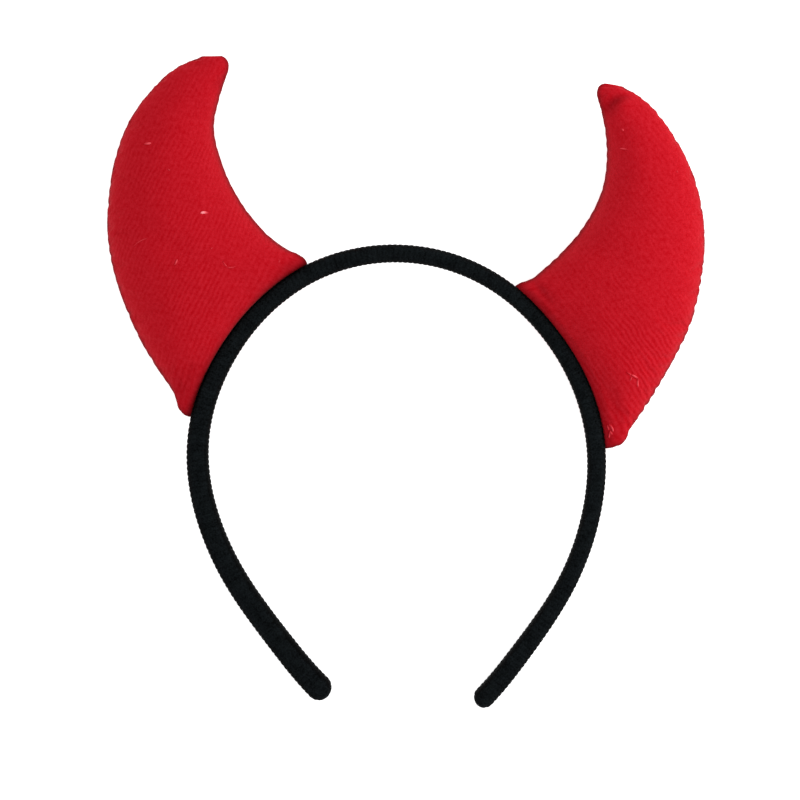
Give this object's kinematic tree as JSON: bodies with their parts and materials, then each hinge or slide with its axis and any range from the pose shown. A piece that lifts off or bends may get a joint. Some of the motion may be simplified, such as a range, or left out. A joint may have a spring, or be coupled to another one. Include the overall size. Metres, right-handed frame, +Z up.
{
  "type": "devil horns headband",
  "caption": "Costume headband lying flat: a black cloth-wrapped band with an open lower end and a stuffed red cloth horn on each side, curving in to a blunt tip.",
  "frame": {"origin": "middle of the part's box, on the surface that it lies on", "axes": "+Z up off the surface, +Y from the band's open ends towards the horns' tips, +X to the right as seen from above"},
  "size_m": [0.182, 0.199, 0.0273],
  "materials": {
    "black_cloth": "matte ribbed cloth wrapped round the band",
    "red_cloth": "matte brushed twill, lightly fuzzy"
  },
  "bodies": {
    "root": {"band": "black_cloth", "left_horn": "red_cloth", "right_horn": "red_cloth"}
  },
  "joints": []
}
